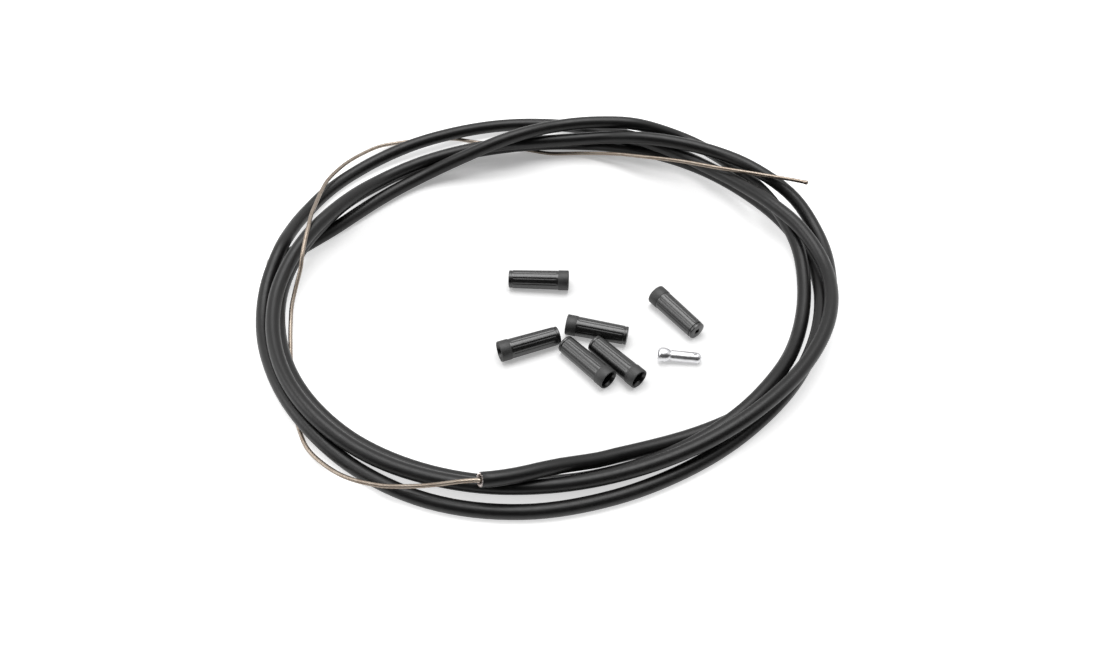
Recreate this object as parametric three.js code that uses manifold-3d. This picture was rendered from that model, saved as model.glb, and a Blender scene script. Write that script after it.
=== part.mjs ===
// A bicycle shift cable laid down in a loose coil: the housing with the inner wire through it,
// six housing ferrules and a crimp-on end cap for the wire, lying inside the coil.
// Millimetres, +Z up. The origin is the middle of the coil, on the surface that it lies on.
import * as THREE from 'three';
import { mergeVertices } from 'three/addons/utils/BufferGeometryUtils.js';
import Module from 'manifold-3d';

const wasm = await Module();
wasm.setup();

// Housing, from its outside in
const HOUSING_DIAMETER = 4;
const JACKET_WALL = 0.45;
const STRAND_WALL = 0.45;
const LINER_WALL = 0.2;
const LAYER_CLEARANCE = 0.05;

// Inner wire and the nipple cast on its end
const WIRE_DIAMETER = 1.2;
const HEAD_DIAMETER = 4;
const HEAD_LENGTH = 4;
const HEAD_CHAMFER = 0.3;
const HEAD_FLOOR = 0.6;
const HEAD_GAP = 0.3;
const HEAD_WIRE_CLEARANCE = 0.05;

// Ferrules
const FERRULE_LENGTH = 17.6;
const FERRULE_DIAMETER = 5.1;
const FERRULE_END_WALL = 1.6;
const FERRULE_END_STEP = 0.1;
const FERRULE_END_CHAMFER = 0.15;
const FERRULE_HOUSING_CLEARANCE = 0.1;
const FERRULE_WIRE_CLEARANCE = 0.1;
const COLLAR_DIAMETER = 5.9;
const COLLAR_LENGTH = 3;
const COLLAR_EDGE = 0.25;
const MOUTH_DIAMETER = 5;
const MOUTH_DEPTH = 0.8;
const RIB_COUNT = 10;
const RIB_HEIGHT = 0.14;
const RIB_GROOVE_SHARE = 0.22;
const GROOVE_WIDTH = 0.25;
const GROOVE_DEPTH = 0.2;
const END_DISC_LENGTH = 0.75;

// End cap for the wire
const CAP_LENGTH = 12;
const CAP_DIAMETER = 3.1;
const CAP_FLARE_DIAMETER = 4.1;
const CAP_FLARE_LENGTH = 3.4;
const CAP_NECK_DEPTH = 0.2;
const CAP_DOME_LENGTH = 1;
const CAP_WALL = 0.35;
const CAP_END_WALL = 1.8;

// Facets round each form
const JACKET_SIDES = 10;
const LAYER_SIDES = 8;
const LINER_SIDES = 6;
const LATHE_SIDES = 16;
const BORE_SIDES = 12;

// The oval that the turns follow, and how finely the tubes step along it
const COIL_HALF_WIDTH = 82;
const COIL_HALF_DEPTH = 74.5;
const HOUSING_STEPS = 113;
const FREE_WIRE_STEPS = 50;

// How the housing lies: angle wound, how far out of the oval, and height of its middle.
// Angles run on through the turns, anticlockwise from +X, and the strands cross as they were dropped.
const HOUSING_LAY = [
  [258, 0.5, 10.4], [261, -1, 10.1], [265, -3.4, 9.3], [268, -5.3, 8.6], [272, -7.5, 7.3],
  [276, -9.1, 5.8], [280, -10.2, 4.6], [285, -11.4, 3.5], [292, -11.8, 2.5], [300, -11, 2],
  [315, -7.9, 2], [330, -4.3, 2], [345, -1.4, 2], [360, 0.8, 2], [375, 2.8, 2.5],
  [385, 1.2, 6.6], [395, -3.7, 10.2], [405, -6.6, 10.2], [415, -10.6, 10.5], [425, -13.7, 10],
  [435, -14.4, 7.5], [445, -16.2, 6.5], [455, -17.8, 6.8], [465, -17, 6.5], [475, -15.6, 6],
  [485, -13.9, 5.5], [500, -11.8, 5.5], [510, -12.1, 8], [520, -11.5, 10], [530, -9.1, 10.5],
  [540, -5.8, 9.5], [550, -2.8, 8.5], [565, 0.2, 7.5], [580, 1.7, 7], [595, 1.2, 5],
  [615, -0.9, 4.9], [630, -2.9, 5.1], [645, -4.4, 5.7], [660, -4.3, 7.6], [675, -3.5, 9.5],
  [690, -2.2, 10], [705, -1.2, 10], [720, -1.9, 8.5], [732, -5.4, 10], [742, -9.1, 10.5],
  [752, -10.2, 8.5], [765, -10, 6], [780, -10.3, 6.2], [788, -10.2, 6.8], [796, -6.6, 3.7],
  [805, -3.3, 2], [820, -2.3, 2.5], [835, -2.6, 3.5], [845, -1.9, 3.5], [860, 0.3, 2],
  [875, 0.8, 2], [885, -0.4, 4.5], [893, -1, 6.5], [902, 0.7, 4], [912, 1.8, 2.5],
  [925, 2.6, 3.2], [940, 3.8, 3.5], [955, 4.7, 2], [970, 5, 2], [985, 3.4, 2],
  [1000, 0.5, 2], [1015, -2, 2], [1030, -3.2, 2.5], [1045, -2.8, 5.5], [1055, -3, 6.1],
  [1070, -3.2, 5.5], [1085, -2.9, 2.4], [1100, -4.3, 2], [1115, -6.5, 2], [1130, -8.2, 2],
  [1145, -10.1, 2], [1160, -12.2, 2], [1170, -14.2, 3], [1180, -15, 3.5], [1190, -13.4, 2.5],
  [1205, -11.3, 2], [1220, -9.3, 2.1], [1232, -9.3, 4.6], [1242, -9, 6.3], [1252, -6.9, 6.5],
  [1265, -3.6, 4.5], [1280, -1.8, 3.6], [1295, -0.9, 3.5], [1310, -1.5, 2], [1325, -2.8, 2],
  [1340, -4.5, 2], [1355, -6.2, 2], [1367, -7.1, 2.5], [1380, -7.1, 4.5], [1393, -7.2, 6],
  [1405, -7.6, 6], [1420, -7.9, 3], [1435, -7.4, 3.6], [1450, -6.4, 5.5], [1465, -5.8, 6.6],
  [1475, -3.8, 5.2], [1487, -0.5, 3], [1497, -0.3, 4], [1507, -7.2, 10], [1517, -11.3, 11.1],
  [1527, -14.1, 10.7], [1537, -18.5, 11.5], [1547, -20.5, 10.4], [1557, -20, 7.4], [1570, -16.8, 3],
  [1583, -15, 2], [1592, -13.3, 2], [1600, -10.5, 2], [1607, -6, 2], [1613, -0.5, 2],
];

// How the free end of the wire lies, from its cut end to the mouth of the housing
const WIRE_LAY = [
  [24, 4.5, 12], [31, -4.5, 11.5], [40, -12, 10.5], [50, -16, 9], [60, -18, 7],
  [70, -17.6, 4.4], [80, -16.8, 1.8], [90, -16.4, 0.6], [97, -13.8, 0.6], [103, -10, 0.6],
  [109, -6.5, 0.6], [114, -2, 0.6], [119, 1, 0.6], [125, 4.5, 0.6], [130, 6, 1.5],
  [135, 5.5, 2.5], [140, 4, 4], [145, 2, 5.5], [149, 0, 7], [154, -3, 9],
  [160, -6, 11], [165, -8, 13], [170, -9.5, 14], [175, -10, 13.5], [179, -10, 12.5],
  [182, -9.5, 10], [186, -8, 7], [190, -6.5, 4.5], [194, -5.5, 2.5], [200, -4, 1],
  [206, -2, 0.6], [213, 1.5, 0.6], [220, 5, 0.6], [225, 7.5, 1], [230, 8.5, 2],
  [236, 9, 4.2], [242, 7.5, 5.7], [245, 6.2, 6.6], [248, 4.8, 7.5], [251, 3.6, 8.8],
  [254, 2.3, 10], [256, 1.4, 10.4],
];

// Where each ferrule lies: the middle of its length, and the way its closed end points
const FERRULES = [
  { x: -3.3, y: 0, heading: 177 },
  { x: 36.3, y: -12.7, heading: -52 },
  { x: -5.9, y: -24.2, heading: 21 },
  { x: 13.3, y: -19.3, heading: -13 },
  { x: 10.1, y: -30.6, heading: 132 },
  { x: 18.4, y: -30.4, heading: 132 },
];
const CAP_PLACE = { x: 36.2, y: -28, heading: -5 };

// Sizes that follow from the ones above
const housingRadius = HOUSING_DIAMETER / 2;
const jacketBore = housingRadius - JACKET_WALL;
const strandRadius = jacketBore - LAYER_CLEARANCE;
const strandBore = strandRadius - STRAND_WALL;
const linerRadius = strandBore - LAYER_CLEARANCE;
const linerBore = linerRadius - LINER_WALL;
const wireRadius = WIRE_DIAMETER / 2;
const meanRadius = (COIL_HALF_WIDTH + COIL_HALF_DEPTH) / 2;

const part = new THREE.Group();

// Materials
function surface(color, roughness, metalness) {
  return new THREE.MeshStandardMaterial({ color, roughness, metalness });
}

const jacketPlastic = () => surface(0x1d1d1f, 0.42, 0);
const strandSteel = () => surface(0xcfc8c6, 0.35, 0.9);
const linerPlastic = () => surface(0x3b2c24, 0.5, 0);
const wireSteel = () => surface(0xc4b39d, 0.32, 0.85);
const nippleMetal = () => surface(0xc9c7c4, 0.38, 0.85);
const ferrulePlastic = () => surface(0x171718, 0.5, 0);
const capAluminium = () => surface(0xd9dadc, 0.25, 0.95);

// How a strand lies at one angle, eased through the listed rows
function slope(lay, k, column) {
  const before = lay[Math.max(k - 1, 0)];
  const after = lay[Math.min(k + 1, lay.length - 1)];
  return (after[column] - before[column]) / (after[0] - before[0]);
}

function eased(lay, k, column, angle) {
  const span = lay[k + 1][0] - lay[k][0];
  const t = (angle - lay[k][0]) / span;
  const square = t * t;
  const cube = square * t;
  return (2 * cube - 3 * square + 1) * lay[k][column]
    + (3 * square - 2 * cube) * lay[k + 1][column]
    + (cube - 2 * square + t) * span * slope(lay, k, column)
    + (cube - square) * span * slope(lay, k + 1, column);
}

function pointOnCoil(lay, angle, lowest) {
  let k = lay.findIndex((row) => row[0] > angle) - 1;
  if (k < 0) k = lay.length - 2;
  const scale = 1 + eased(lay, k, 1, angle) / meanRadius;
  const turn = THREE.MathUtils.degToRad(angle);
  return new THREE.Vector3(
    COIL_HALF_WIDTH * scale * Math.cos(turn),
    COIL_HALF_DEPTH * scale * Math.sin(turn),
    Math.max(eased(lay, k, 2, angle), lowest),
  );
}

// Points at equal angles along a strand, which works out all the turns of the coil
function stationsAlong(lay, steps, lowest) {
  const first = lay[0][0];
  const wound = lay[lay.length - 1][0] - first;
  const stations = [];
  for (let i = 0; i <= steps; i += 1) {
    stations.push(pointOnCoil(lay, first + (wound * i) / steps, lowest));
  }
  return stations;
}

// A path that steps from station to station, so that nested tubes share their rings
class StationPath extends THREE.Curve {
  constructor(stations) {
    super();
    this.stations = stations;
  }

  getPoint(t) {
    const place = t * (this.stations.length - 1);
    const k = Math.min(Math.floor(place), this.stations.length - 2);
    return new THREE.Vector3().lerpVectors(this.stations[k], this.stations[k + 1], place - k);
  }

  getPointAt(u) {
    return this.getPoint(u);
  }

  getTangentAt(u) {
    const last = this.stations.length - 1;
    const k = Math.round(u * last);
    const after = this.stations[Math.min(k + 1, last)];
    return after.clone().sub(this.stations[Math.max(k - 1, 0)]).normalize();
  }
}

function polygon(sides, radius) {
  const points = [];
  for (let i = 0; i < sides; i += 1) {
    const angle = (2 * Math.PI * i) / sides;
    points.push(new THREE.Vector2(radius * Math.cos(angle), radius * Math.sin(angle)));
  }
  return points;
}

// A tube, or a solid cord where no bore is given
function tube(stations, outline, bore) {
  const section = new THREE.Shape(outline);
  if (bore) section.holes.push(new THREE.Path(bore));
  const extrudePath = new StationPath(stations);
  return new THREE.ExtrudeGeometry(section, { steps: stations.length - 1, extrudePath });
}

function addPiece(name, geometry, material) {
  const mesh = new THREE.Mesh(geometry, material);
  mesh.name = name;
  part.add(mesh);
  return mesh;
}

// Solids for cutting and joining
function toSolid(geometry) {
  const plain = geometry.clone();
  plain.deleteAttribute('normal');
  plain.deleteAttribute('uv');
  const merged = mergeVertices(plain, 1e-4);
  const index = merged.index.array;
  const triangles = [];
  for (let i = 0; i < index.length; i += 3) {
    const [a, b, c] = [index[i], index[i + 1], index[i + 2]];
    if (a !== b && b !== c && c !== a) triangles.push(a, b, c);
  }
  return new wasm.Manifold(new wasm.Mesh({
    numProp: 3,
    vertProperties: new Float32Array(merged.attributes.position.array),
    triVerts: new Uint32Array(triangles),
  }));
}

function toGeometry(solid) {
  const mesh = solid.getMesh();
  const geometry = new THREE.BufferGeometry();
  geometry.setAttribute('position', new THREE.BufferAttribute(mesh.vertProperties, 3));
  geometry.setIndex(new THREE.BufferAttribute(mesh.triVerts, 1));
  geometry.computeVertexNormals();
  return geometry;
}

// A form turned about +X, from [distance along, radius] pairs that start and end on the axis
function turned(profile, sides = LATHE_SIDES) {
  const points = profile.map(([along, radius]) => new THREE.Vector2(radius, along));
  return new THREE.LatheGeometry(points, sides).rotateZ(-Math.PI / 2);
}

// Housing: a plastic jacket over a layer of steel strands over a liner, all along one route
const housingStations = stationsAlong(HOUSING_LAY, HOUSING_STEPS, housingRadius);

addPiece(
  'housing_jacket',
  tube(housingStations, polygon(JACKET_SIDES, housingRadius), polygon(LAYER_SIDES, jacketBore)),
  jacketPlastic(),
);
addPiece(
  'housing_strands',
  tube(housingStations, polygon(LAYER_SIDES, strandRadius), polygon(LINER_SIDES, strandBore)),
  strandSteel(),
);
addPiece(
  'housing_liner',
  tube(housingStations, polygon(LINER_SIDES, linerRadius), polygon(LINER_SIDES, linerBore)),
  linerPlastic(),
);

// Inner wire: its free end over and under the turns, then the whole housing, then the nipple
const housingEnd = housingStations[HOUSING_STEPS];
const endDirection = housingEnd.clone().sub(housingStations[HOUSING_STEPS - 1]).normalize();
const headStart = housingEnd.clone().addScaledVector(endDirection, HEAD_GAP);
const headDepth = HEAD_LENGTH - HEAD_FLOOR;
const wireEnd = headStart.clone().addScaledVector(endDirection, headDepth - HEAD_GAP);
const mouthRow = HOUSING_LAY[0];
const freeStations = stationsAlong([...WIRE_LAY, mouthRow], FREE_WIRE_STEPS, wireRadius);
const wireStations = [...freeStations.slice(0, -1), ...housingStations, wireEnd];

addPiece('inner_wire', tube(wireStations, polygon(LINER_SIDES, wireRadius)), wireSteel());

// Nipple: a barrel with the blind hole that the wire is cast into
function wireHead() {
  const radius = HEAD_DIAMETER / 2;
  const hole = wireRadius + HEAD_WIRE_CLEARANCE;
  return turned([
    [headDepth, 0],
    [headDepth, hole],
    [0, hole],
    [0, radius - HEAD_CHAMFER],
    [HEAD_CHAMFER, radius],
    [HEAD_LENGTH - HEAD_CHAMFER, radius],
    [HEAD_LENGTH, radius - HEAD_CHAMFER],
    [HEAD_LENGTH, 0],
  ]);
}

const head = addPiece('wire_head', wireHead(), nippleMetal());
head.position.copy(headStart);
head.quaternion.setFromUnitVectors(new THREE.Vector3(1, 0, 0), endDirection);

// Ferrule: a collared sleeve with lengthwise ribs and a wall with the wire's hole at its far end
function ribbedOutline(radius) {
  const outline = [];
  const pitch = (2 * Math.PI) / RIB_COUNT;
  const groove = pitch * RIB_GROOVE_SHARE;
  for (let i = 0; i < RIB_COUNT; i += 1) {
    const start = (i - 0.5) * pitch;
    const corners = [
      [start, radius - RIB_HEIGHT],
      [start + groove / 2, radius],
      [start + pitch / 2, radius],
      [start + pitch - groove / 2, radius],
    ];
    for (const [angle, r] of corners) {
      outline.push(new THREE.Vector2(r * Math.cos(angle), r * Math.sin(angle)));
    }
  }
  return outline;
}

function ferrule() {
  const radius = FERRULE_DIAMETER / 2;
  const collar = COLLAR_DIAMETER / 2;
  const endRadius = radius - FERRULE_END_STEP;
  const grooveRadius = endRadius - GROOVE_DEPTH;
  const discStart = FERRULE_LENGTH - END_DISC_LENGTH;
  const ribsEnd = discStart - GROOVE_WIDTH;
  const bore = housingRadius + FERRULE_HOUSING_CLEARANCE;
  const boreEnd = FERRULE_LENGTH - FERRULE_END_WALL;
  const hole = wireRadius + FERRULE_WIRE_CLEARANCE;
  const over = 1;

  const turnedForm = toSolid(turned([
    [0, 0],
    [0, collar - COLLAR_EDGE],
    [COLLAR_EDGE, collar],
    [COLLAR_LENGTH - COLLAR_EDGE, collar],
    [COLLAR_LENGTH, collar - COLLAR_EDGE],
    [COLLAR_LENGTH, grooveRadius],
    [discStart, grooveRadius],
    [discStart, endRadius],
    [FERRULE_LENGTH - FERRULE_END_CHAMFER, endRadius],
    [FERRULE_LENGTH, endRadius - FERRULE_END_CHAMFER],
    [FERRULE_LENGTH, 0],
  ]));
  const ribDepth = ribsEnd - COLLAR_LENGTH + COLLAR_EDGE;
  const ribs = new THREE.ExtrudeGeometry(new THREE.Shape(ribbedOutline(radius)), {
    depth: ribDepth,
    bevelEnabled: false,
  });
  ribs.rotateY(Math.PI / 2).translate(COLLAR_LENGTH - COLLAR_EDGE, 0, 0);
  const hollow = toSolid(turned([
    [-over, 0],
    [-over, MOUTH_DIAMETER / 2],
    [0, MOUTH_DIAMETER / 2],
    [MOUTH_DEPTH, bore],
    [boreEnd, bore],
    [boreEnd, hole],
    [FERRULE_LENGTH + over, hole],
    [FERRULE_LENGTH + over, 0],
  ], BORE_SIDES));
  return toGeometry(turnedForm.add(toSolid(ribs)).subtract(hollow));
}

// A turned piece that lies on its thick end and its thin end, so that it tips a little
function layDown(mesh, place, length, thick, thin) {
  const tilt = Math.atan2(thick.radius - thin.radius, thin.at - thick.at);
  const heading = THREE.MathUtils.degToRad(place.heading);
  const height = thick.at * Math.sin(tilt) + thick.radius * Math.cos(tilt);
  mesh.rotation.set(0, tilt, heading, 'ZYX');
  mesh.position.set(
    place.x - (length / 2) * Math.cos(heading),
    place.y - (length / 2) * Math.sin(heading),
    height,
  );
}

FERRULES.forEach((place, i) => {
  const mesh = addPiece(`ferrule_${i + 1}`, ferrule(), ferrulePlastic());
  const thick = { at: COLLAR_LENGTH - COLLAR_EDGE, radius: COLLAR_DIAMETER / 2 };
  const thin = { at: FERRULE_LENGTH - END_DISC_LENGTH - GROOVE_WIDTH, radius: FERRULE_DIAMETER / 2 };
  layDown(mesh, place, FERRULE_LENGTH, thick, thin);
});

// End cap: a thin aluminium thimble with a flared mouth and a domed end
const capRadius = CAP_DIAMETER / 2;
const flareRadius = CAP_FLARE_DIAMETER / 2;
const flareAt = CAP_FLARE_LENGTH * 0.4;

function endCap() {
  const neck = capRadius - CAP_NECK_DEPTH;
  const domeStart = CAP_LENGTH - CAP_DOME_LENGTH;
  const boreEnd = CAP_LENGTH - CAP_END_WALL;
  return turned([
    [boreEnd, 0],
    [boreEnd, capRadius - CAP_WALL],
    [CAP_FLARE_LENGTH + CAP_NECK_DEPTH, capRadius - CAP_WALL],
    [CAP_FLARE_LENGTH, neck - CAP_WALL],
    [flareAt, flareRadius - CAP_WALL],
    [0, flareRadius - 2 * CAP_WALL],
    [0, flareRadius - CAP_WALL],
    [flareAt * 0.4, flareRadius - CAP_WALL * 0.3],
    [flareAt, flareRadius],
    [CAP_FLARE_LENGTH * 0.8, flareRadius - CAP_WALL],
    [CAP_FLARE_LENGTH, neck],
    [CAP_FLARE_LENGTH + CAP_NECK_DEPTH, capRadius],
    [domeStart, capRadius],
    [domeStart + CAP_DOME_LENGTH * 0.7, capRadius * 0.72],
    [CAP_LENGTH, capRadius * 0.3],
    [CAP_LENGTH, 0],
  ]);
}

const cap = addPiece('end_cap', endCap(), capAluminium());
const capThick = { at: flareAt, radius: flareRadius };
const capThin = { at: CAP_LENGTH - CAP_DOME_LENGTH, radius: capRadius };
layDown(cap, CAP_PLACE, CAP_LENGTH, capThick, capThin);

export default part;
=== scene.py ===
"""A bicycle shift cable laid down in a loose coil, dressed for the picture.

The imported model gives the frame. Sizes are in millimetres under the headings that say so,
and times MM they are metres, as the frame has them.
"""

import math

import bmesh
import bpy
from mathutils import Matrix, Vector


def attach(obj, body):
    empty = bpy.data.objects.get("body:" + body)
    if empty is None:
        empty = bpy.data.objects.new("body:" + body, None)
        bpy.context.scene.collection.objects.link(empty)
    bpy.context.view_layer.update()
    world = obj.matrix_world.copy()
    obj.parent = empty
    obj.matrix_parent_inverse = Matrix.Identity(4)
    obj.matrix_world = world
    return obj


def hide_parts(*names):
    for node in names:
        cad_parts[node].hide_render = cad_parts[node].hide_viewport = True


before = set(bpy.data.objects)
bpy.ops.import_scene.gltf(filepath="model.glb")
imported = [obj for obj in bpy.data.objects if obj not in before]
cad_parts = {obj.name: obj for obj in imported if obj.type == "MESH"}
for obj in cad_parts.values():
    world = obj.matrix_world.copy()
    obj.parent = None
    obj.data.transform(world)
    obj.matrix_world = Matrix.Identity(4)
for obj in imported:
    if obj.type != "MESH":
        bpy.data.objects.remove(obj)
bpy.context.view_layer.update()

MM = 0.001
ROOT = "root"

# Camera, at the photograph's view: 50 degrees down on the coil
IMAGE_WIDTH = 1100
CAMERA_PLACE = (0, -0.2105, 0.2329)
CAMERA_PITCH = math.radians(50)
FOCAL_PIXELS = 1055.6
SENSOR_WIDTH = 36

# The oval that the turns follow, in millimetres, as the part's source has it
COIL_HALF_WIDTH = 82
COIL_HALF_DEPTH = 74.5
MEAN_RADIUS = (COIL_HALF_WIDTH + COIL_HALF_DEPTH) / 2

# How the housing lies: angle wound, how far out of the oval, and height of its middle
HOUSING_LAY = [
    [258, 0.5, 10.4], [261, -1, 10.1], [265, -3.4, 9.3], [268, -5.3, 8.6], [272, -7.5, 7.3],
    [276, -9.1, 5.8], [280, -10.2, 4.6], [285, -11.4, 3.5], [292, -11.8, 2.5], [300, -11, 2],
    [315, -7.9, 2], [330, -4.3, 2], [345, -1.4, 2], [360, 0.8, 2], [375, 2.8, 2.5],
    [385, 1.2, 6.6], [395, -3.7, 10.2], [405, -6.6, 10.2], [415, -10.6, 10.5], [425, -13.7, 10],
    [435, -14.4, 7.5], [445, -16.2, 6.5], [455, -17.8, 6.8], [465, -17, 6.5], [475, -15.6, 6],
    [485, -13.9, 5.5], [500, -11.8, 5.5], [510, -12.1, 8], [520, -11.5, 10], [530, -9.1, 10.5],
    [540, -5.8, 9.5], [550, -2.8, 8.5], [565, 0.2, 7.5], [580, 1.7, 7], [595, 1.2, 5],
    [615, -0.9, 4.9], [630, -2.9, 5.1], [645, -4.4, 5.7], [660, -4.3, 7.6], [675, -3.5, 9.5],
    [690, -2.2, 10], [705, -1.2, 10], [720, -1.9, 8.5], [732, -5.4, 10], [742, -9.1, 10.5],
    [752, -10.2, 8.5], [765, -10, 6], [780, -10.3, 6.2], [788, -10.2, 6.8], [796, -6.6, 3.7],
    [805, -3.3, 2], [820, -2.3, 2.5], [835, -2.6, 3.5], [845, -1.9, 3.5], [860, 0.3, 2],
    [875, 0.8, 2], [885, -0.4, 4.5], [893, -1, 6.5], [902, 0.7, 4], [912, 1.8, 2.5],
    [925, 2.6, 3.2], [940, 3.8, 3.5], [955, 4.7, 2], [970, 5, 2], [985, 3.4, 2],
    [1000, 0.5, 2], [1015, -2, 2], [1030, -3.2, 2.5], [1045, -2.8, 5.5], [1055, -3, 6.1],
    [1070, -3.2, 5.5], [1085, -2.9, 2.4], [1100, -4.3, 2], [1115, -6.5, 2], [1130, -8.2, 2],
    [1145, -10.1, 2], [1160, -12.2, 2], [1170, -14.2, 3], [1180, -15, 3.5], [1190, -13.4, 2.5],
    [1205, -11.3, 2], [1220, -9.3, 2.1], [1232, -9.3, 4.6], [1242, -9, 6.3], [1252, -6.9, 6.5],
    [1265, -3.6, 4.5], [1280, -1.8, 3.6], [1295, -0.9, 3.5], [1310, -1.5, 2], [1325, -2.8, 2],
    [1340, -4.5, 2], [1355, -6.2, 2], [1367, -7.1, 2.5], [1380, -7.1, 4.5], [1393, -7.2, 6],
    [1405, -7.6, 6], [1420, -7.9, 3], [1435, -7.4, 3.6], [1450, -6.4, 5.5], [1465, -5.8, 6.6],
    [1475, -3.8, 5.2], [1487, -0.5, 3], [1497, -0.3, 4], [1507, -7.2, 10], [1517, -11.3, 11.1],
    [1527, -14.1, 10.7], [1537, -18.5, 11.5], [1547, -20.5, 10.4], [1557, -20, 7.4], [1570, -16.8, 3],
    [1583, -15, 2], [1592, -13.3, 2], [1600, -10.5, 2], [1607, -6, 2], [1613, -0.5, 2],
]

# How the free end of the wire lies, from its cut end to the mouth of the housing
WIRE_LAY = [
    [24, 4.5, 12], [31, -4.5, 11.5], [40, -12, 10.5], [50, -16, 9], [60, -18, 7],
    [70, -17.6, 4.4], [80, -16.8, 1.8], [90, -16.4, 0.6], [97, -13.8, 0.6], [103, -10, 0.6],
    [109, -6.5, 0.6], [114, -2, 0.6], [119, 1, 0.6], [125, 4.5, 0.6], [130, 6, 1.5],
    [135, 5.5, 2.5], [140, 4, 4], [145, 2, 5.5], [149, 0, 7], [154, -3, 9],
    [160, -6, 11], [165, -8, 13], [170, -9.5, 14], [175, -10, 13.5], [179, -10, 12.5],
    [182, -9.5, 10], [186, -8, 7], [190, -6.5, 4.5], [194, -5.5, 2.5], [200, -4, 1],
    [206, -2, 0.6], [213, 1.5, 0.6], [220, 5, 0.6], [225, 7.5, 1], [230, 8.5, 2],
    [236, 9, 4.2], [242, 7.5, 5.7], [245, 6.2, 6.6], [248, 4.8, 7.5], [251, 3.6, 8.8],
    [254, 2.3, 10], [256, 1.4, 10.4],
]

# Where each ferrule lies: middle of its length in millimetres, and where its closed end points
FERRULES = [
    (-3.3, 0, 177),
    (36.3, -12.7, -52),
    (-5.9, -24.2, 21),
    (13.3, -19.3, -13),
    (10.1, -30.6, 132),
    (18.4, -30.4, 132),
]
CAP_PLACE = (36.2, -28, -5)

# Housing, in millimetres; angles in radians round the mouth, where the top is near -1.6
HOUSING_R = 2
JACKET_BORE_R = 1.55
JACKET_EDGE = 0.08
JACKET_RECESS = 0.2
CUT_SLANT = 0.55
CUT_FACING = -1.0
BURR_PLACE = -1.9
BURR_LENGTH = 0.35
BURR_WIDTH = 0.25
STRAND_COUNT = 16
STRAND_LEAD = 90
STRAND_RING_R = 1.275
STRAND_R = 0.215
STRAND_FLARE = 0.27
STRAND_SPREAD = 0.1
STRAND_PROUD = 0.15
FLARE_LENGTH = 1.2
SLANT_LENGTH = 2
STEPS_AT_CUT = (0.35, 0.7, 1.2, 2)
LINER_R = 1
LINER_BORE_R = 0.8
LINER_RECESS = 0.3

# Wire and nipple, in millimetres
WIRE_R = 0.6
WIRE_STRANDS = 12
WIRE_LEAD = 11
WIRE_GROOVE = 0.035
TIP_R = 0.66
TIP_PROFILE = [(-0.3, 0.25), (-0.22, 0.45), (-0.05, 0.6), (0.2, TIP_R), (0.6, TIP_R), (0.8, WIRE_R)]
WIRE_IN_HEAD = 3
HEAD_GAP = 0.3
HEAD_LENGTH = 4
HEAD_R = 2
HEAD_ROUND = 0.3
SOCKET_DEPTH = 3.3
SOCKET_PLAY = 0.05

# Ferrules, in millimetres
FERRULE_LENGTH = 17.6
FERRULE_R = 2.83
FERRULE_END_R = 2.66
END_RING_LENGTH = 1.0
END_RING_INSET = 0.06
COLLAR_R = 2.95
COLLAR_LENGTH = 3
BORE_R = 2.1
MOUTH_R = 2.5
HOLE_HALF = 0.72
HOLE_DEPTH = 1.6
RIB_COUNT = 10
RIB_HEIGHT = 0.09
GROOVE_SHARE = 0.4

# End cap, in millimetres; the flash has rows of place along, height and half width
CAP_LENGTH = 12
CAP_R = 1.55
CAP_FLARE_R = 2.05
CAP_WALL = 0.35
CAP_DEPTH = 10.2
FLASH_PLACE = 10.1
FLASH_ROOT = 1.43
FLASH_ROWS = [(-0.7, 0.1, 0.1), (-0.45, 0.5, 0.25), (0, 0.8, 0.3), (0.45, 0.7, 0.25), (0.55, 0.1, 0.1)]
FLASH_SECTION = [(-1, 0), (-0.8, 0.8), (0, 1), (0.8, 0.8), (1, 0)]

# How finely things are meshed: steps along a route in degrees, and sides round a form
JACKET_STEP = 2
CORE_STEP = 3.5
FREE_WIRE_STEP = 0.75
HIDDEN_WIRE_STEP = 2.5
JACKET_SIDES = 32
LINER_SIDES = 20
STRAND_SIDES = 8
WIRE_SIDES = 48
HEAD_SIDES = 40
FERRULE_SIDES = 120
COLLAR_BANDS = range(0, 8)
CAP_SIDES = 64

# Studio, in metres: floor, ambient light, two softboxes, and the dark side
FLOOR_REACH = 3
FLOOR_COLOR = (0.86, 0.86, 0.86)
# Painted light: the seen floor glows weaker inside the coil and stronger from its turns outward, which
# whitens the shade in the gaps between the tubes
GLOW_RISES_FROM = 0.06
GLOW_RISES_TO = 0.074
GLOW_INSIDE = 0.32
GLOW_OUTSIDE = 0.64
AMBIENT = 0.36
LAMP_DISTANCE = 1.5
TOP_DIRECTION = (0, 0.22, 0.97)
TOP_SIZE = (1.1, 1.1)
TOP_POWER = 17
SIDE_DIRECTION = (-0.82, -0.02, 0.55)
SIDE_SIZE = (0.8, 0.8)
SIDE_POWER = 5.5
FLAG_RADIUS = 2
FLAG_TURN = 275
FLAG_SPREAD = 70
FLAG_LOW = 1
FLAG_HIGH = 66
FLAG_ROWS = 8
FLAG_COLUMNS = 16
FLAG_COLOR = (0.08, 0.08, 0.08)


def make_camera():
    data = bpy.data.cameras.new("camera")
    data.sensor_width = SENSOR_WIDTH
    data.lens = FOCAL_PIXELS / IMAGE_WIDTH * SENSOR_WIDTH
    data.clip_start = 0.01
    camera = bpy.data.objects.new("camera", data)
    camera.location = CAMERA_PLACE
    camera.rotation_euler = (math.pi / 2 - CAMERA_PITCH, 0, 0)
    bpy.context.collection.objects.link(camera)
    bpy.context.scene.camera = camera


# Routes


def slope(lay, k, column):
    """How fast a column changes with the angle at row k."""
    before = lay[max(k - 1, 0)]
    after = lay[min(k + 1, len(lay) - 1)]
    return (after[column] - before[column]) / (after[0] - before[0])


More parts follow.
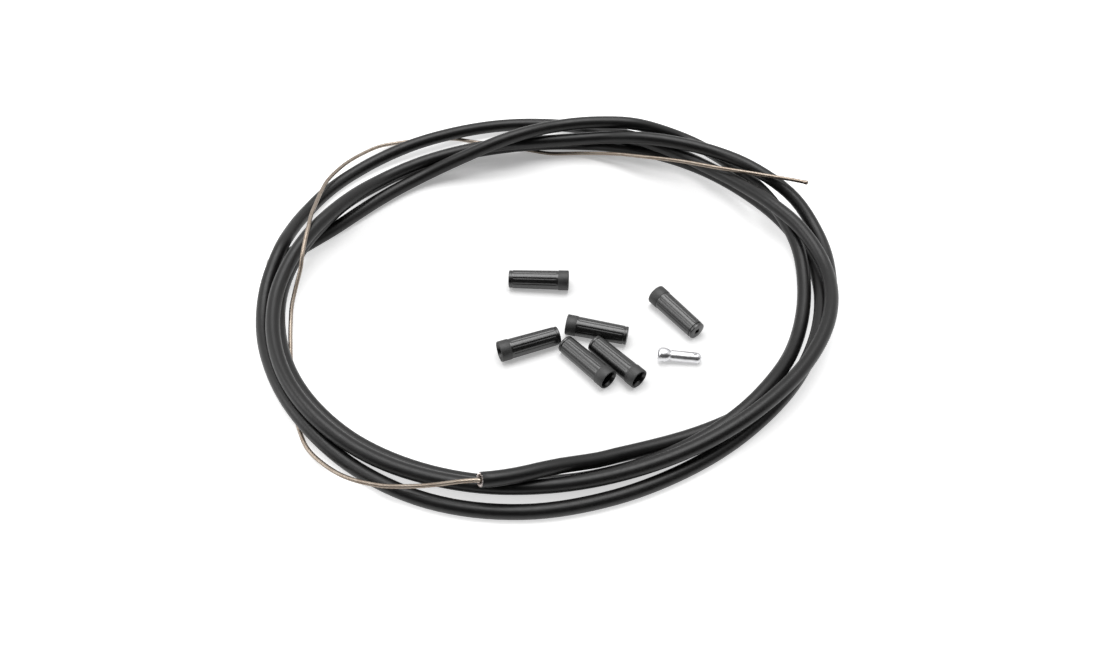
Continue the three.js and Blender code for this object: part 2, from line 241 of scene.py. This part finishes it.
def eased(lay, k, column, angle):
    """A column's value at an angle between row k and the next, on a smooth curve."""
    span = lay[k + 1][0] - lay[k][0]
    t = (angle - lay[k][0]) / span
    return (
        (2 * t**3 - 3 * t**2 + 1) * lay[k][column]
        + (3 * t**2 - 2 * t**3) * lay[k + 1][column]
        + (t**3 - 2 * t**2 + t) * span * slope(lay, k, column)
        + (t**3 - t**2) * span * slope(lay, k + 1, column)
    )


def point_on_coil(lay, angle, lowest):
    k = max(i for i in range(len(lay) - 1) if lay[i][0] <= angle)
    scale = (1 + eased(lay, k, 1, angle) / MEAN_RADIUS) * MM
    turn = math.radians(angle)
    return Vector((
        COIL_HALF_WIDTH * scale * math.cos(turn),
        COIL_HALF_DEPTH * scale * math.sin(turn),
        max(eased(lay, k, 2, angle), lowest) * MM,
    ))


def angles(first, last, step):
    """Angles from first to last, about a step apart."""
    count = max(round((last - first) / step), 1)
    return [first + (last - first) * i / count for i in range(count + 1)]


def housing_path(step):
    return [
        point_on_coil(HOUSING_LAY, a, HOUSING_R)
        for a in angles(HOUSING_LAY[0][0], HOUSING_LAY[-1][0], step)
    ]


def wire_path():
    """The free end in fine steps, then the housing's whole route, then into the nipple."""
    mouth = HOUSING_LAY[0][0]
    lay = WIRE_LAY + HOUSING_LAY
    free = angles(lay[0][0], mouth, FREE_WIRE_STEP)[:-1]
    hidden = angles(mouth, lay[-1][0], HIDDEN_WIRE_STEP)
    points = [point_on_coil(lay, a, WIRE_R) for a in free]
    points += [point_on_coil(lay, a, HOUSING_R) for a in hidden]
    along = (points[-1] - points[-2]).normalized()
    points.append(points[-1] + along * HEAD_GAP * MM)
    points.append(points[-1] + along * WIRE_IN_HEAD * MM)
    return points


# Meshes


def frames_along(points):
    """(centre, side, up, along) at each point, turned as little as the route allows."""
    last = len(points) - 1
    along = [(points[min(i + 1, last)] - points[max(i - 1, 0)]).normalized() for i in range(last + 1)]
    side = along[0].cross(Vector((0, 0, 1))).normalized()
    found = []
    for i, direction in enumerate(along):
        if i:
            side = along[i - 1].rotation_difference(direction) @ side
        side = (side - direction * side.dot(direction)).normalized()
        found.append((points[i], side, direction.cross(side), direction))
    return found


def ring(place, sides, radius, shift=None, twist=0.0):
    """One ring of points, in millimetres. radius is a number or a function of the angle;
    shift is a function of the angle that moves points along the route."""
    centre, side, up, along = place
    points = []
    for i in range(sides):
        angle = 2 * math.pi * i / sides
        r = (radius(angle) if callable(radius) else radius) * MM
        lift = shift(angle) * MM if shift else 0
        around = angle + twist
        points.append(centre + side * r * math.cos(around) + up * r * math.sin(around) + along * lift)
    return points


def new_mesh(name, vertices, faces):
    mesh = bpy.data.meshes.new(name)
    mesh.from_pydata(vertices, [], faces)
    mesh.validate()
    mesh.update()
    obj = bpy.data.objects.new(name, mesh)
    bpy.context.collection.objects.link(obj)
    outward(obj)
    mesh.shade_smooth()
    return obj


def outward(obj):
    """Turns every face to look out of its solid."""
    work = bmesh.new()
    work.from_mesh(obj.data)
    bmesh.ops.recalc_face_normals(work, faces=work.faces)
    work.to_mesh(obj.data)
    work.free()


def loft(name, rings, closed=False, caps=False):
    """A skin over rings of equal count; closed joins the last ring to the first."""
    sides = len(rings[0])
    vertices = [p for each in rings for p in each]
    faces = []
    spans = len(rings) if closed else len(rings) - 1
    for k in range(spans):
        here = k * sides
        there = ((k + 1) % len(rings)) * sides
        for i in range(sides):
            j = (i + 1) % sides
            faces.append((here + i, here + j, there + j, there + i))
    if caps:
        faces.append(tuple(reversed(range(sides))))
        faces.append(tuple(range((len(rings) - 1) * sides, len(rings) * sides)))
    return new_mesh(name, vertices, faces)


def joined(name, objects):
    """One object from several, so that what is one thing is one piece."""
    vertices = []
    faces = []
    for obj in objects:
        start = len(vertices)
        vertices += [v.co.copy() for v in obj.data.vertices]
        faces += [tuple(start + i for i in p.vertices) for p in obj.data.polygons]
        bpy.data.objects.remove(obj)
    return new_mesh(name, vertices, faces)


def turned(name, profile, sides, closed=True):
    """A form turned round X from (along, radius) pairs; a radius may be a function."""
    rings = []
    for along, radius in profile:
        place = (Vector((along * MM, 0, 0)), Vector((0, 1, 0)), Vector((0, 0, 1)), Vector((1, 0, 0)))
        rings.append(ring(place, sides, radius))
    return loft(name, rings, closed=closed, caps=not closed)


def lying(place, length, thick, thin):
    """The matrix of a turned piece that rests on its thick end and its thin end."""
    x, y, heading = place
    tilt = math.atan2(thick[1] - thin[1], thin[0] - thick[0])
    turn = math.radians(heading)
    height = thick[0] * math.sin(tilt) + thick[1] * math.cos(tilt)
    start = Vector((
        x - length / 2 * math.cos(turn),
        y - length / 2 * math.sin(turn),
        height,
    )) * MM
    return Matrix.Translation(start) @ Matrix.Rotation(turn, 4, "Z") @ Matrix.Rotation(tilt, 4, "Y")


def put(obj, matrix, sharp_degrees):
    """Moves a piece's own points to their place, and keeps its sharp edges sharp."""
    obj.data.transform(matrix)
    obj.data.update()
    sharpen(obj, sharp_degrees)
    return obj


def sharpen(obj, degrees):
    obj.data.set_sharp_from_angle(angle=math.radians(degrees))


# Materials


def new_node(tree, kind, **settings):
    added = tree.nodes.new(kind)
    for key, value in settings.items():
        setattr(added, key, value)
    return added


def material(name, color, roughness, metallic=0.0, specular=0.5):
    made = bpy.data.materials.new(name)
    made.use_nodes = True
    shader = made.node_tree.nodes["Principled BSDF"]
    shader.inputs["Base Color"].default_value = (*color, 1)
    shader.inputs["Roughness"].default_value = roughness
    shader.inputs["Metallic"].default_value = metallic
    shader.inputs["Specular IOR Level"].default_value = specular
    return made


def into(made, source, socket):
    made.node_tree.links.new(source, made.node_tree.nodes["Principled BSDF"].inputs[socket])


def noise(made, scale, detail=4.0):
    """Noise over the object's own coordinates; scale is cells to the metre."""
    tree = made.node_tree
    where = new_node(tree, "ShaderNodeTexCoord")
    texture = new_node(tree, "ShaderNodeTexNoise")
    texture.inputs["Scale"].default_value = scale
    texture.inputs["Detail"].default_value = detail
    tree.links.new(where.outputs["Object"], texture.inputs["Vector"])
    return texture.outputs["Fac"]


def tint(made, source, dark, pale, low=0.3, high=0.7):
    """Base colour from noise, dark up to low and pale from high."""
    ramp = new_node(made.node_tree, "ShaderNodeValToRGB")
    for element, place, color in zip(ramp.color_ramp.elements, (low, high), (dark, pale)):
        element.position = place
        element.color = (*color, 1)
    made.node_tree.links.new(source, ramp.inputs["Fac"])
    into(made, ramp.outputs["Color"], "Base Color")


def roughen(made, source, low, high):
    """Roughness from noise, between two values."""
    mapped = new_node(made.node_tree, "ShaderNodeMapRange")
    for socket, value in zip(("From Min", "From Max", "To Min", "To Max"), (0.3, 0.7, low, high)):
        mapped.inputs[socket].default_value = value
    made.node_tree.links.new(source, mapped.inputs["Value"])
    into(made, mapped.outputs["Result"], "Roughness")


def bump(made, source, strength, distance):
    bumped = new_node(made.node_tree, "ShaderNodeBump")
    bumped.inputs["Strength"].default_value = strength
    bumped.inputs["Distance"].default_value = distance
    made.node_tree.links.new(source, bumped.inputs["Height"])
    into(made, bumped.outputs["Normal"], "Normal")


def jacket_plastic():
    made = material("jacket_plastic", (0.005, 0.005, 0.005), 0.48, specular=0.4)
    tint(made, noise(made, 350), (0.004, 0.004, 0.004), (0.007, 0.0065, 0.0065))
    roughen(made, noise(made, 900), 0.36, 0.44)
    bump(made, noise(made, 5000, 3), 0.12, 0.00002)
    return made


def strand_steel():
    made = material("strand_steel", (0.72, 0.66, 0.64), 0.35, 1.0)
    grime = noise(made, 2500)
    tint(made, grime, (0.42, 0.35, 0.32), (0.80, 0.75, 0.73), 0.35, 0.6)
    roughen(made, grime, 0.28, 0.45)
    bump(made, noise(made, 9000, 2), 0.2, 0.00002)
    return made


def liner_plastic():
    made = material("liner_plastic", (0.035, 0.018, 0.011), 0.4)
    tint(made, noise(made, 3000), (0.02, 0.010, 0.007), (0.06, 0.03, 0.018))
    return made


def wire_steel():
    made = material("wire_steel", (0.30, 0.25, 0.20), 0.36, 1.0)
    tint(made, noise(made, 500), (0.26, 0.21, 0.17), (0.36, 0.31, 0.26))
    roughen(made, noise(made, 4000), 0.32, 0.42)
    return made


def nipple_metal():
    made = material("nipple_metal", (0.62, 0.61, 0.60), 0.36, 1.0)
    tint(made, noise(made, 1500), (0.5, 0.49, 0.48), (0.72, 0.71, 0.70))
    bump(made, noise(made, 6000, 3), 0.25, 0.00003)
    return made


def ferrule_plastic():
    made = material("ferrule_plastic", (0.006, 0.006, 0.006), 0.34, specular=0.85)
    tint(made, noise(made, 700), (0.004, 0.004, 0.004), (0.008, 0.008, 0.008))
    roughen(made, noise(made, 1800), 0.26, 0.34)
    bump(made, noise(made, 9000, 2), 0.15, 0.00002)
    return made


def collar_plastic():
    """The collar and the mouth's rim are spark-textured: paler and rougher than the body."""
    made = material("collar_plastic", (0.012, 0.012, 0.012), 0.58, specular=0.85)
    tint(made, noise(made, 2600), (0.008, 0.008, 0.008), (0.018, 0.018, 0.018), 0.35, 0.65)
    bump(made, noise(made, 7000, 3), 0.5, 0.00004)
    return made


def cap_aluminium():
    made = material("cap_aluminium", (0.90, 0.90, 0.91), 0.2, 1.0)
    tint(made, noise(made, 900), (0.72, 0.72, 0.74), (0.86, 0.86, 0.87))
    roughen(made, noise(made, 2500), 0.28, 0.4)
    bump(made, noise(made, 4000, 3), 0.15, 0.00003)
    return made


# Housing


def slant(angle):
    """The cutter left the end a little oblique: how far back each side of it lies."""
    return CUT_SLANT * math.cos(angle - CUT_FACING)


def jacket_cut(angle):
    """The jacket shrank back from the cut, a little ragged, with one burr."""
    from_burr = math.remainder(angle - BURR_PLACE, 2 * math.pi)
    burr = BURR_LENGTH * math.exp(-((from_burr / BURR_WIDTH) ** 2))
    ragged = 0.06 * math.sin(3 * angle + 1) + 0.04 * math.sin(7 * angle)
    return JACKET_RECESS + slant(angle) + ragged - burr


def liner_cut(angle):
    return LINER_RECESS + slant(angle)


def housing_jacket(path):
    places = frames_along(path)
    first = places[0]
    last = places[-1]
    edge = JACKET_EDGE
    rings = [
        ring(first, JACKET_SIDES, HOUSING_R - edge, jacket_cut),
        ring(first, JACKET_SIDES, HOUSING_R, lambda a: jacket_cut(a) + edge),
    ]
    rings += [ring(p, JACKET_SIDES, HOUSING_R) for p in places[1:-1]]
    rings.append(ring(last, JACKET_SIDES, HOUSING_R, lambda a: -edge))
    rings.append(ring(last, JACKET_SIDES, HOUSING_R - edge))
    rings += [ring(p, JACKET_SIDES, JACKET_BORE_R) for p in reversed(places[1:])]
    rings.append(ring(first, JACKET_SIDES, JACKET_BORE_R + 0.1, jacket_cut))
    return loft("housing_cover", rings, closed=True)


def with_cut_steps(path):
    """The path with more points near its cut end."""
    along = (path[1] - path[0]).normalized()
    return [path[0]] + [path[0] + along * step * MM for step in STEPS_AT_CUT] + path[1:]


def strand(number, places, lengths):
    """One steel strand, nearly lengthwise, that flares and thickens a little at the cut."""
    start = 2 * math.pi * number / STRAND_COUNT
    centres = []
    radii = []
    for (centre, side, up, along), length in zip(places, lengths):
        angle = start + 2 * math.pi * length / STRAND_LEAD
        opened = max(0.0, 1 - length / FLARE_LENGTH)
        back = slant(start) * max(0.0, 1 - length / SLANT_LENGTH)
        r = (STRAND_RING_R + STRAND_FLARE * opened) * MM
        around = side * r * math.cos(angle) + up * r * math.sin(angle)
        centres.append(centre + around + along * back * MM)
        radii.append(STRAND_R + STRAND_SPREAD * opened)
    proud = STRAND_PROUD + 0.04 * math.sin(5.1 * number)
    centres[0] = centres[0] - places[0][3] * proud * MM
    rings = [ring(p, STRAND_SIDES, r) for p, r in zip(frames_along(centres), radii)]
    return loft(f"strand_{number}", rings, caps=True)


def strand_layer(path):
    path = with_cut_steps(path)
    places = frames_along(path)
    lengths = [0.0]
    for a, b in zip(path, path[1:]):
        lengths.append(lengths[-1] + (b - a).length / MM)
    return joined("housing_steel_strands", [strand(n, places, lengths) for n in range(STRAND_COUNT)])


def housing_liner(path):
    places = frames_along(path)
    outer = [ring(places[0], LINER_SIDES, LINER_R, liner_cut)]
    outer += [ring(p, LINER_SIDES, LINER_R) for p in places[1:]]
    inner = [ring(places[0], LINER_SIDES, LINER_BORE_R, liner_cut)]
    inner += [ring(p, LINER_SIDES, LINER_BORE_R) for p in places[1:]]
    return loft("housing_liner_tube", outer + inner[::-1], closed=True)


# Wire


def stranded_section(angle):
    """Radius round the wire, with a groove between each two of its outer strands."""
    bulge = abs(math.sin(WIRE_STRANDS * angle / 2))
    return WIRE_R - WIRE_GROOVE * (1 - bulge)


def inner_wire(path):
    """The whole wire: its fused tip, its stranded free end, and a round core where it is hidden."""
    places = frames_along(path)
    free = len(angles(WIRE_LAY[0][0], HOUSING_LAY[0][0], FREE_WIRE_STEP)) + 2
    tip, side, up, along = places[0]
    rings = []
    for back, radius in TIP_PROFILE:
        rings.append(ring((tip + along * back * MM, side, up, along), WIRE_SIDES, radius))
    length = 0.0
    twist = 0.0
    for i, place in enumerate(places[1:], 1):
        length += (path[i] - path[i - 1]).length / MM
        if i < free:
            twist = 2 * math.pi * length / WIRE_LEAD
        rings.append(ring(place, WIRE_SIDES, stranded_section if i < free else WIRE_R, twist=twist))
    return loft("wire_strands", rings, caps=True)


def wire_head(path):
    """The cast nipple on the wire's end, a barrel with rounded edges and a socket for the wire."""
    end = path[-3]
    along = (path[-2] - path[-3]).normalized()
    turn = Vector((1, 0, 0)).rotation_difference(along).to_matrix().to_4x4()
    socket = WIRE_R + SOCKET_PLAY
    centre = 0.02
    near = 0.3 * HEAD_ROUND
    profile = [
        (SOCKET_DEPTH, centre), (SOCKET_DEPTH, socket), (0.05, socket), (0, socket + 0.1),
        (0, HEAD_R - HEAD_ROUND), (near, HEAD_R - near), (HEAD_ROUND, HEAD_R),
        (HEAD_LENGTH - HEAD_ROUND, HEAD_R), (HEAD_LENGTH - near, HEAD_R - near),
        (HEAD_LENGTH, HEAD_R - HEAD_ROUND), (HEAD_LENGTH, centre),
    ]
    obj = turned("wire_nipple", profile, HEAD_SIDES, closed=False)
    return put(obj, Matrix.Translation(end + along * HEAD_GAP * MM) @ turn, 50)


# Ferrules


def ribs(base, depth):
    """Radius round the ribbed body: wide lands with narrow rounded grooves between."""
    def radius(angle):
        phase = math.remainder(angle * RIB_COUNT, 2 * math.pi) / math.pi
        groove = max(0.0, 1 - (1 - abs(phase)) / GROOVE_SHARE)
        return base - depth * groove * groove * (3 - 2 * groove)
    return radius


def square_hole(half):
    """Radius of a hole that is square with round corners."""
    def radius(angle):
        return half / (math.cos(angle) ** 6 + math.sin(angle) ** 6) ** (1 / 6)
    return radius


def ferrule(number, place):
    """A ribbed sleeve that narrows a little from its collar to its closed end."""
    last = FERRULE_LENGTH
    body_start = COLLAR_LENGTH
    body_end = last - END_RING_LENGTH
    end = FERRULE_END_R - END_RING_INSET

    def body(along):
        share = (along - body_start) / (body_end - body_start)
        return FERRULE_R + (FERRULE_END_R - FERRULE_R) * share

    def ribbed(along, depth):
        return along, ribs(body(along), RIB_HEIGHT * depth)

    mouth = [(0.16, MOUTH_R), (0.04, MOUTH_R + 0.06), (0, MOUTH_R + 0.14)]
    collar = [
        (0, COLLAR_R - 0.16), (0.05, COLLAR_R - 0.05), (0.16, COLLAR_R), (body_start - 0.12, COLLAR_R),
        (body_start - 0.03, COLLAR_R - 0.04), (body_start, COLLAR_R - 0.1),
    ]
    ribbed_body = [
        (body_start, body(body_start)), ribbed(body_start + 0.3, 0), ribbed(body_start + 0.5, 0.4),
        ribbed(body_start + 0.8, 1), ribbed(body_end - 0.6, 1), ribbed(body_end - 0.35, 0.4),
        ribbed(body_end - 0.15, 0), ribbed(body_end - 0.05, 0), (body_end, FERRULE_END_R - 0.05),
    ]
    end_ring = [
        (body_end, end - 0.16), (body_end + 0.22, end - 0.16), (body_end + 0.22, end - 0.03),
        (body_end + 0.27, end), (last - 0.2, end), (last - 0.06, end - 0.05), (last, end - 0.2),
    ]
    hole = [
        (last, square_hole(HOLE_HALF + 0.06)), (last - 0.06, square_hole(HOLE_HALF)),
        (last - HOLE_DEPTH, square_hole(HOLE_HALF)),
    ]
    bore = [
        (last - HOLE_DEPTH, BORE_R - 0.1), (last - HOLE_DEPTH - 0.1, BORE_R),
        (0.9, BORE_R), (0.75, BORE_R + 0.03),
    ]
    profile = mouth + collar + ribbed_body + end_ring + hole + bore
    obj = turned(f"ferrule_sleeve_{number}", profile, FERRULE_SIDES)
    thick = (body_start - 0.2, COLLAR_R)
    thin = (body_end, FERRULE_END_R)
    return put(obj, lying(place, last, thick, thin), 35)


def paint_collar(obj, finish):
    """The second finish goes on the faces between the rings of the rim and the collar."""
    obj.data.materials.append(finish)
    for face in obj.data.polygons:
        if face.index // FERRULE_SIDES in COLLAR_BANDS:
            face.material_index = 1


# End cap


def cap_flash():
    """The small ear left where the cap was parted, near its closed end."""
    rings = [
        [Vector((FLASH_PLACE + back, y * half, FLASH_ROOT + z * high)) * MM for y, z in FLASH_SECTION]
        for back, high, half in FLASH_ROWS
    ]
    return loft("cap_flash", rings, caps=True)


def end_cap():
    """A crimp cap: a flared bulb at its open end, a plain barrel and a domed closed end."""
    r = CAP_R
    flare = CAP_FLARE_R
    dome = CAP_LENGTH - 1
    centre = 0.02
    bore = [(CAP_DEPTH, centre), (CAP_DEPTH, r - CAP_WALL), (3.6, r - CAP_WALL), (3.3, r - 0.55)]
    bulb_inside = [(2.6, r - 0.3), (1.4, flare - CAP_WALL), (0.4, flare - 0.5), (0.05, flare - 0.6)]
    bulb = [
        (0, flare - 0.5), (0.1, flare - 0.32), (0.5, flare - 0.12), (1.0, flare - 0.02), (1.4, flare),
        (1.9, flare - 0.03), (2.5, flare - 0.18), (3.0, flare - 0.45), (3.3, r - 0.17), (3.6, r - 0.05),
    ]
    barrel = [(3.9, r), (7, r), (dome - 0.2, r), (dome + 0.2, r - 0.08), (dome + 0.6, r - 0.35)]
    closed_end = [(dome + 0.85, r - 0.75), (CAP_LENGTH, r - 1.1), (CAP_LENGTH, centre)]
    profile = bore + bulb_inside + bulb + barrel + closed_end
    shell = turned("cap_shell", profile, CAP_SIDES, closed=False)
    obj = joined("wire_end_cap", [shell, cap_flash()])
    thick = (1.36, flare)
    thin = (dome, r)
    return put(obj, lying(CAP_PLACE, CAP_LENGTH, thick, thin), 50)


# Floor, light and background


def seen(tree):
    """1 for a ray from the camera, in a reflection or through glass, and 0 for a lighting ray."""
    rays = new_node(tree, "ShaderNodeLightPath")
    total = rays.outputs["Is Camera Ray"]
    for name in ("Is Glossy Ray", "Is Transmission Ray"):
        add = new_node(tree, "ShaderNodeMath", operation="ADD", use_clamp=True)
        tree.links.new(total, add.inputs[0])
        tree.links.new(rays.outputs[name], add.inputs[1])
        total = add.outputs[0]
    return total


def chosen(tree, factor, when_off, when_on, target):
    mix = new_node(tree, "ShaderNodeMixShader")
    tree.links.new(factor, mix.inputs[0])
    tree.links.new(when_off.outputs[0], mix.inputs[1])
    tree.links.new(when_on.outputs[0], mix.inputs[2])
    tree.links.new(mix.outputs[0], target)


def empty_material(name):
    made = bpy.data.materials.new(name)
    made.use_nodes = True
    made.node_tree.nodes.clear()
    return made


def stage_piece(name, vertices, faces, made):
    mesh = bpy.data.meshes.new(name)
    mesh.from_pydata(vertices, [], faces)
    mesh.materials.append(made)
    obj = bpy.data.objects.new(name, mesh)
    bpy.context.collection.objects.link(obj)
    return obj


def floor_glow(tree):
    """The glow that is seen of the floor, a painted light: weaker in the middle so that shadows show
    there, and stronger from the coil's turns outward, where it whitens the shade in the gaps between
    the tubes.
    """
    where = new_node(tree, "ShaderNodeTexCoord")
    away = new_node(tree, "ShaderNodeVectorMath", operation="LENGTH")
    rise = new_node(tree, "ShaderNodeMapRange", interpolation_type="SMOOTHSTEP")
    tree.links.new(where.outputs["Object"], away.inputs[0])
    tree.links.new(away.outputs["Value"], rise.inputs["Value"])
    rise.inputs["From Min"].default_value = GLOW_RISES_FROM
    rise.inputs["From Max"].default_value = GLOW_RISES_TO
    rise.inputs["To Min"].default_value = GLOW_INSIDE
    rise.inputs["To Max"].default_value = GLOW_OUTSIDE
    glow = new_node(tree, "ShaderNodeEmission")
    tree.links.new(rise.outputs["Result"], glow.inputs["Strength"])
    return glow


def make_floor():
    """Pale paper that keeps the shadows, a little whiter where it is seen, with a painted glow that
    lightens the shade in the gaps between the tubes.
    """
    made = empty_material("floor_paper")
    tree = made.node_tree
    plain = new_node(tree, "ShaderNodeBsdfDiffuse")
    plain.inputs["Color"].default_value = (*FLOOR_COLOR, 1)
    white = new_node(tree, "ShaderNodeAddShader")
    tree.links.new(plain.outputs[0], white.inputs[0])
    tree.links.new(floor_glow(tree).outputs[0], white.inputs[1])
    out = new_node(tree, "ShaderNodeOutputMaterial")
    chosen(tree, seen(tree), plain, white, out.inputs["Surface"])
    far = FLOOR_REACH
    corners = [(-far, -far, 0), (far, -far, 0), (far, far, 0), (-far, far, 0)]
    stage_piece("floor", corners, [(0, 1, 2, 3)], made)


def make_world():
    """A white studio, seen as white and giving the weaker half of the light."""
    world = bpy.data.worlds.new("studio")
    world.use_nodes = True
    bpy.context.scene.world = world
    tree = world.node_tree
    tree.nodes.clear()
    ambient = new_node(tree, "ShaderNodeBackground")
    ambient.inputs["Strength"].default_value = AMBIENT
    white = new_node(tree, "ShaderNodeBackground")
    white.inputs["Color"].default_value = (1, 1, 1, 1)
    white.inputs["Strength"].default_value = 1
    out = new_node(tree, "ShaderNodeOutputWorld")
    chosen(tree, seen(tree), ambient, white, out.inputs["Surface"])


def make_flag():
    """The dark side of the studio: a curved black cloth round the photographer's place."""
    vertices = []
    for i in range(FLAG_ROWS + 1):
        up = math.radians(FLAG_LOW + (FLAG_HIGH - FLAG_LOW) * i / FLAG_ROWS)
        for j in range(FLAG_COLUMNS + 1):
            turn = math.radians(FLAG_TURN + FLAG_SPREAD * (2 * j / FLAG_COLUMNS - 1))
            vertices.append((
                FLAG_RADIUS * math.cos(up) * math.cos(turn),
                FLAG_RADIUS * math.cos(up) * math.sin(turn),
                FLAG_RADIUS * math.sin(up),
            ))
    wide = FLAG_COLUMNS + 1
    faces = [
        (i * wide + j, i * wide + j + 1, (i + 1) * wide + j + 1, (i + 1) * wide + j)
        for i in range(FLAG_ROWS)
        for j in range(FLAG_COLUMNS)
    ]
    made = empty_material("flag_cloth")
    tree = made.node_tree
    cloth = new_node(tree, "ShaderNodeBsdfDiffuse")
    cloth.inputs["Color"].default_value = (*FLAG_COLOR, 1)
    out = new_node(tree, "ShaderNodeOutputMaterial")
    tree.links.new(cloth.outputs[0], out.inputs["Surface"])
    stage_piece("flag", vertices, faces, made).visible_camera = False


def lamp(name, direction, size, power):
    """A softbox in one direction from the coil, that looks at its middle."""
    data = bpy.data.lights.new(name, "AREA")
    data.shape = "RECTANGLE"
    data.size, data.size_y = size
    data.energy = power
    obj = bpy.data.objects.new(name, data)
    place = Vector(direction).normalized() * LAMP_DISTANCE
    obj.location = place
    obj.rotation_euler = (-place).to_track_quat("-Z", "Y").to_euler()
    bpy.context.collection.objects.link(obj)


# The whole scene


def finish_piece(obj, made, slot, stands_for=None):
    """Gives a piece its material and body, and lets it take its solid's place."""
    obj.data.materials.append(made)
    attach(obj, ROOT)
    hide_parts(stands_for or slot)
    return obj


def add_housing():
    path = housing_path(JACKET_STEP)
    jacket = finish_piece(housing_jacket(path), jacket_plastic(), "housing_jacket")
    sharpen(jacket, 50)
    core = housing_path(CORE_STEP)
    strands = finish_piece(strand_layer(core), strand_steel(), "housing_strands")
    sharpen(strands, 50)
    liner = finish_piece(housing_liner(core), liner_plastic(), "housing_liner")
    sharpen(liner, 50)


def add_wire():
    path = wire_path()
    nipple = finish_piece(wire_head(path), nipple_metal(), "wire_head")
    wire = finish_piece(inner_wire(path), wire_steel(), "inner_wire")
    sharpen(wire, 60)


def add_loose_pieces():
    plastic = ferrule_plastic()
    collar = collar_plastic()
    for number, place in enumerate(FERRULES, 1):
        sleeve = finish_piece(ferrule(number, place), plastic, "ferrules", f"ferrule_{number}")
        paint_collar(sleeve, collar)
    finish_piece(end_cap(), cap_aluminium(), "end_cap")


def add_studio():
    make_floor()
    make_world()
    make_flag()
    lamp("top_softbox", TOP_DIRECTION, TOP_SIZE, TOP_POWER)
    lamp("side_softbox", SIDE_DIRECTION, SIDE_SIZE, SIDE_POWER)


make_camera()
add_housing()
add_wire()
add_loose_pieces()
add_studio()
bpy.context.scene.view_settings.view_transform = "Standard"
